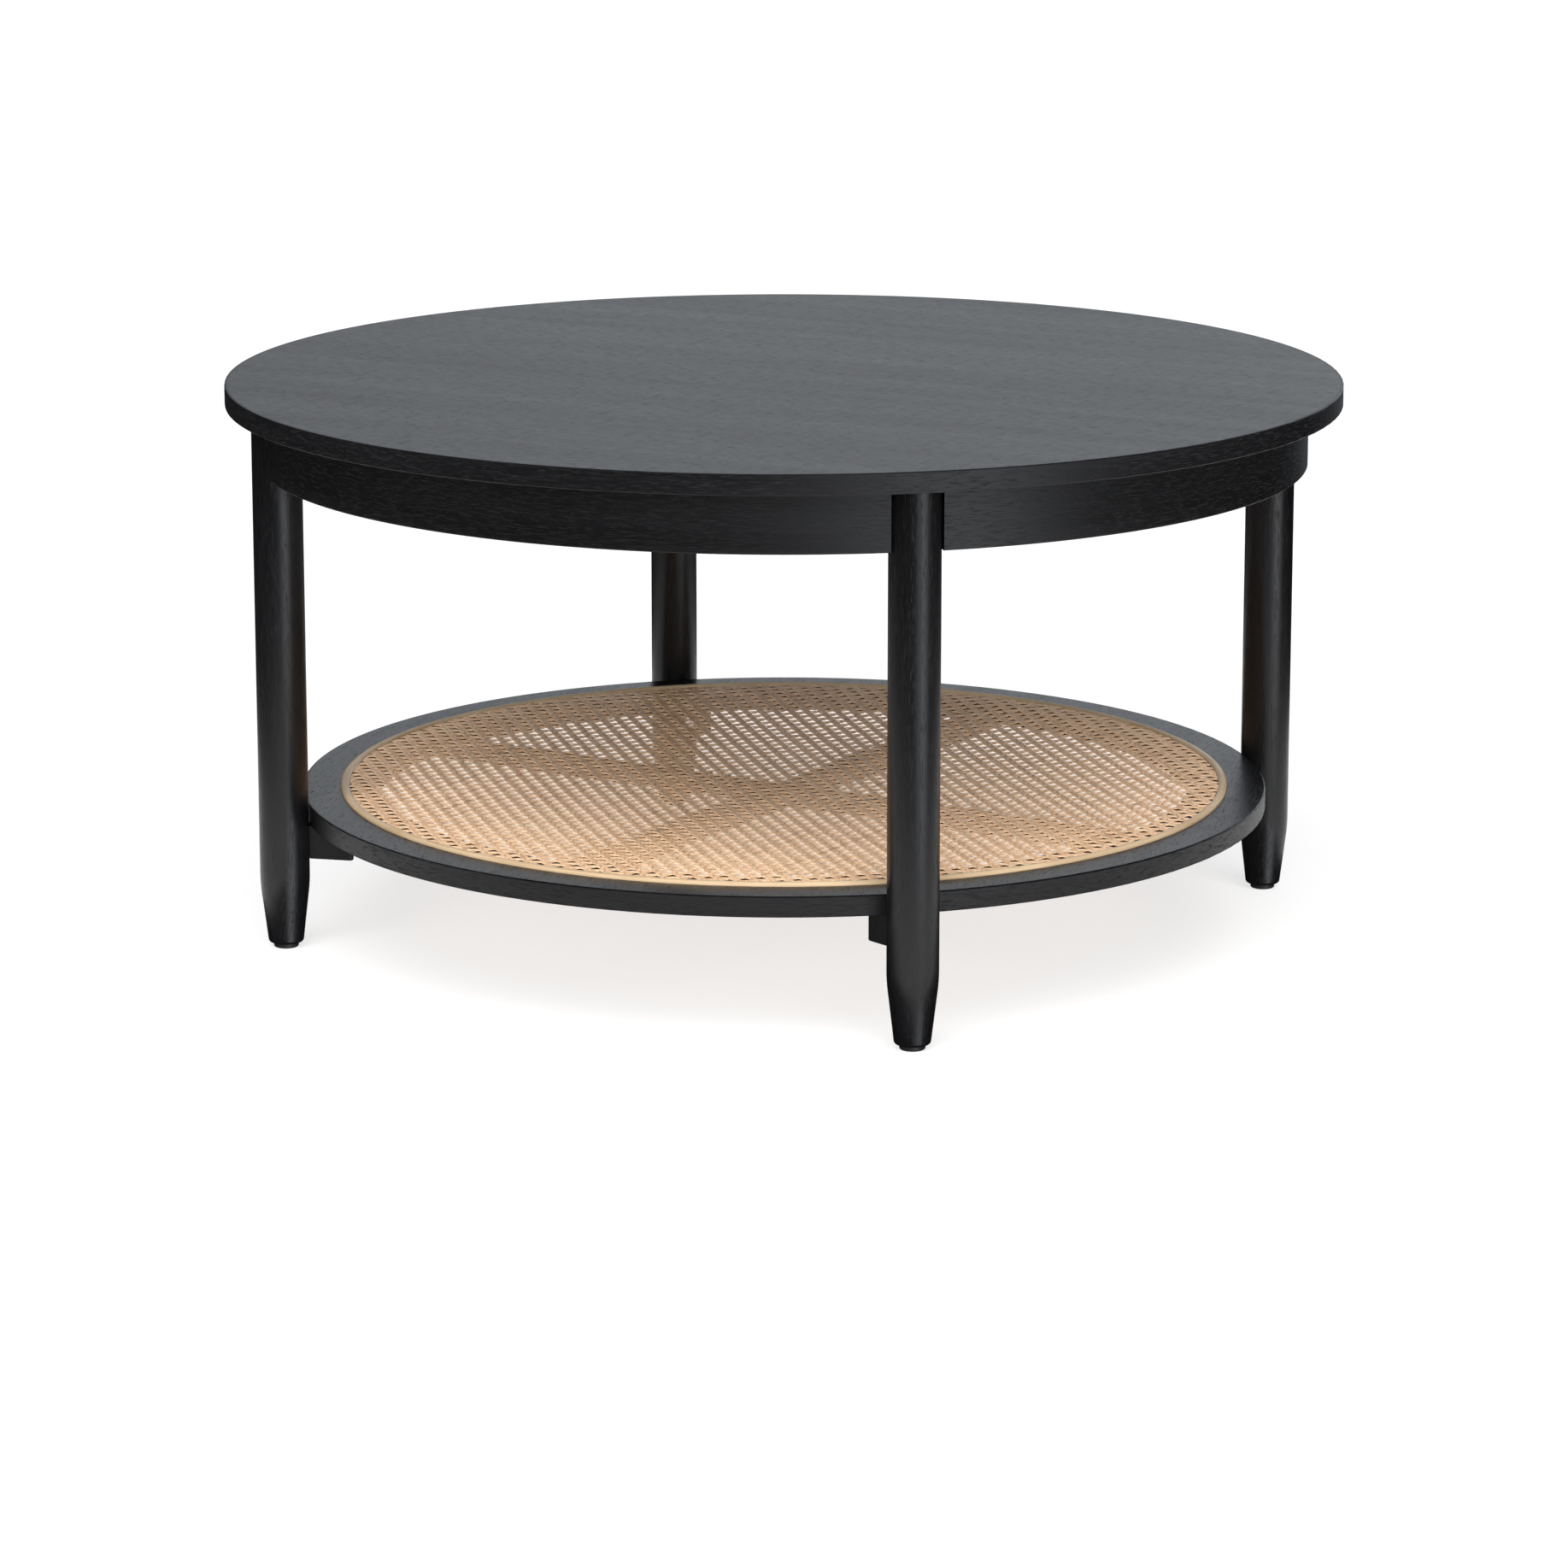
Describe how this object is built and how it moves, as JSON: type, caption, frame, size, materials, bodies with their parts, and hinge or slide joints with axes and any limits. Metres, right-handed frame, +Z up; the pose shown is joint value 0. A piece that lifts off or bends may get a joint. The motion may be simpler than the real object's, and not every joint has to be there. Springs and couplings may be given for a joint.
{
  "type": "coffee table",
  "caption": "Round coffee table with a curved apron, tapered round legs and a lower ring shelf of woven cane webbing.",
  "frame": {"origin": "on the floor, under the middle of the round top", "axes": "+Z up; the legs stand on the diagonals of X and Y, and the slats of the shelf lie along X and Y"},
  "size_m": [0.8999, 0.9, 0.45],
  "materials": {
    "face_wood": "black-stained open-grain veneer, satin lacquer",
    "edge_wood": "black-stained solid band, open grain, satin",
    "core_board": "fibreboard, plain",
    "shelf_core": "fibreboard, painted black",
    "apron_wood": "black-stained bent wood, satin",
    "leg_wood": "black-stained turned solid wood, satin",
    "ring_wood": "black-stained open-grain veneer, satin",
    "slat_wood": "black-stained solid wood, matte",
    "block_wood": "black-stained solid wood, matte",
    "reed": "natural rattan reed, satin",
    "cane": "natural rattan cane, woven, satin",
    "zinc_steel": "bright zinc plate",
    "insert_zinc": "cast zinc alloy",
    "screw_steel": "black oxide",
    "glide_plastic": "moulded black plastic"
  },
  "bodies": {
    "root": {"top_core": "core_board", "top_face_veneer": "face_wood", "top_back_veneer": "face_wood", "top_edge_band": "edge_wood", "shelf_ring": "shelf_core", "shelf_face_veneer": "ring_wood", "shelf_back_veneer": "ring_wood", "shelf_edge_band": "edge_wood", "slat_x": "slat_wood", "slat_y": "slat_wood", "slat_screws": "screw_steel", "cane_webbing": "cane", "cane_spline": "reed", "leg_bolts": "zinc_steel", "leg_bolt_washers": "zinc_steel", "leg_inserts": "insert_zinc", "shelf_bolts": "zinc_steel", "shelf_bolt_washers": "zinc_steel", "shelf_screws": "screw_steel", "top_screws": "screw_steel", "apron_screws": "screw_steel", "glide_nails": "zinc_steel", "apron_east": "apron_wood", "apron_north": "apron_wood", "apron_west": "apron_wood", "apron_south": "apron_wood", "leg_ne": "leg_wood", "glide_ne": "glide_plastic", "corner_block_ne": "block_wood", "shelf_block_ne": "block_wood", "leg_nw": "leg_wood", "glide_nw": "glide_plastic", "corner_block_nw": "block_wood", "shelf_block_nw": "block_wood", "leg_sw": "leg_wood", "glide_sw": "glide_plastic", "corner_block_sw": "block_wood", "shelf_block_sw": "block_wood", "leg_se": "leg_wood", "glide_se": "glide_plastic", "corner_block_se": "block_wood", "shelf_block_se": "block_wood"}
  },
  "joints": []
}
